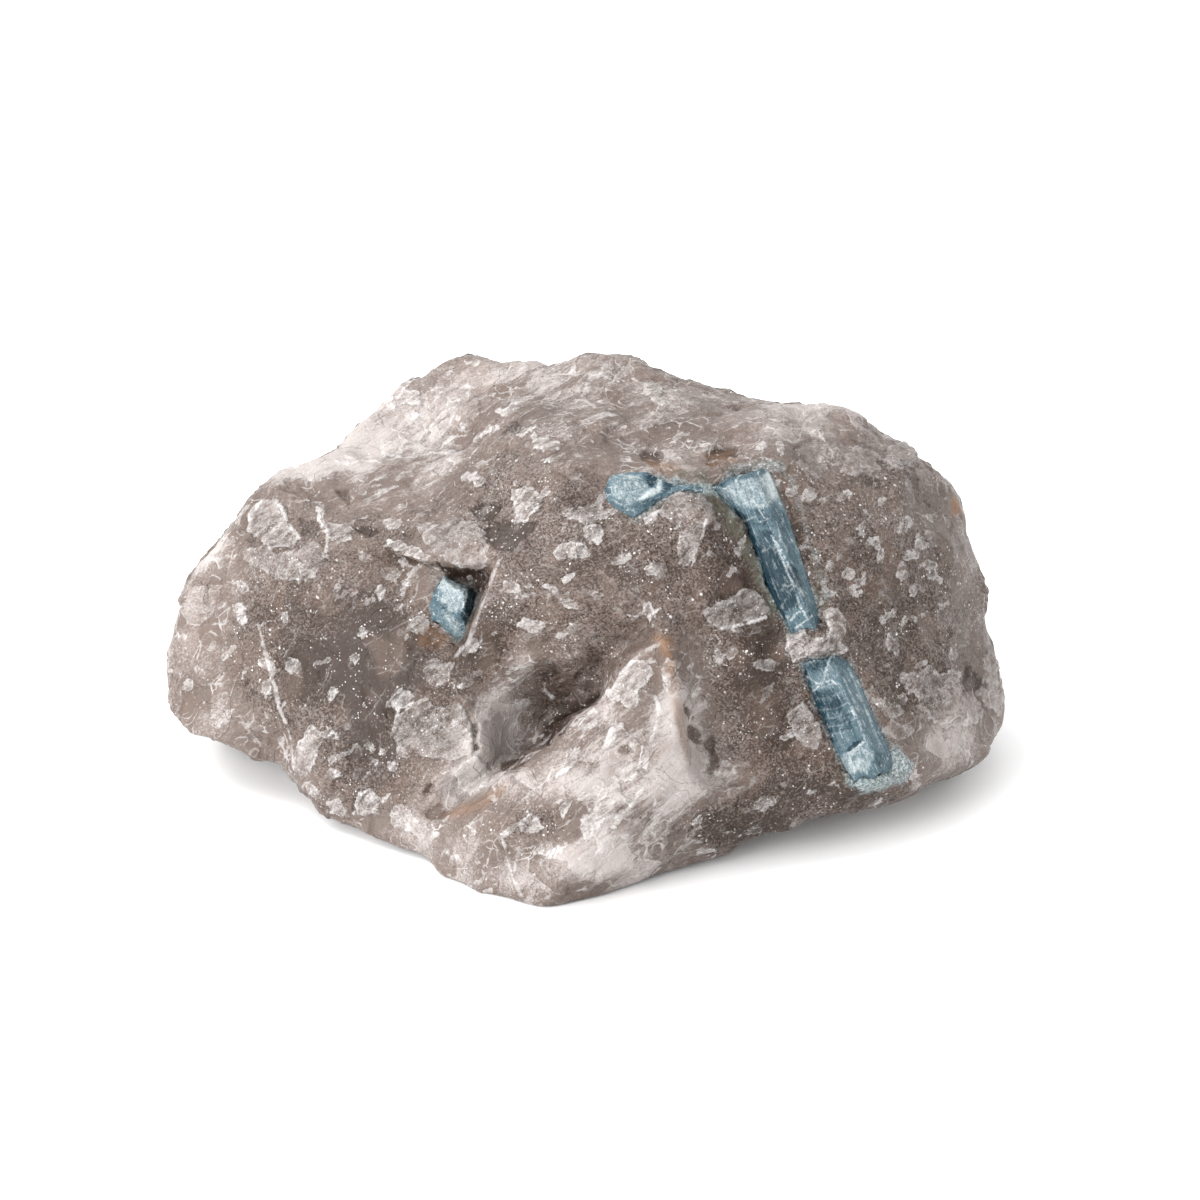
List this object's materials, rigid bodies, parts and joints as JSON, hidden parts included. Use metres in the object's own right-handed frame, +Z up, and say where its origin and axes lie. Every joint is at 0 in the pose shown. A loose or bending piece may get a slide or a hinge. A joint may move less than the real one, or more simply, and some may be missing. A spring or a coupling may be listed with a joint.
{
  "type": "aquamarine crystals in a quartz matrix",
  "caption": "Natural lump of massive grey quartz with pale blue aquamarine prisms grown into its front, free-standing on a flat fracture.",
  "frame": {"origin": "under the middle of the specimen's box, on the flat fracture that it rests on", "axes": "+Z up; +X to the right across the face that carries the crystals, along the longest side; the crystals face -Y"},
  "size_m": [0.1312, 0.0918, 0.0617],
  "materials": {
    "quartz": "greasy gloss on broken massive quartz, with frosty flakes and brown stains",
    "aquamarine": "cloudy pale blue-green beryl with lengthwise striae and frosty broken ends"
  },
  "bodies": {
    "root": {"quartz_matrix": "quartz", "aquamarine_upper_prism": "aquamarine", "aquamarine_lower_prism": "aquamarine", "aquamarine_side_crystal": "aquamarine", "aquamarine_small_crystal": "aquamarine"}
  },
  "joints": []
}
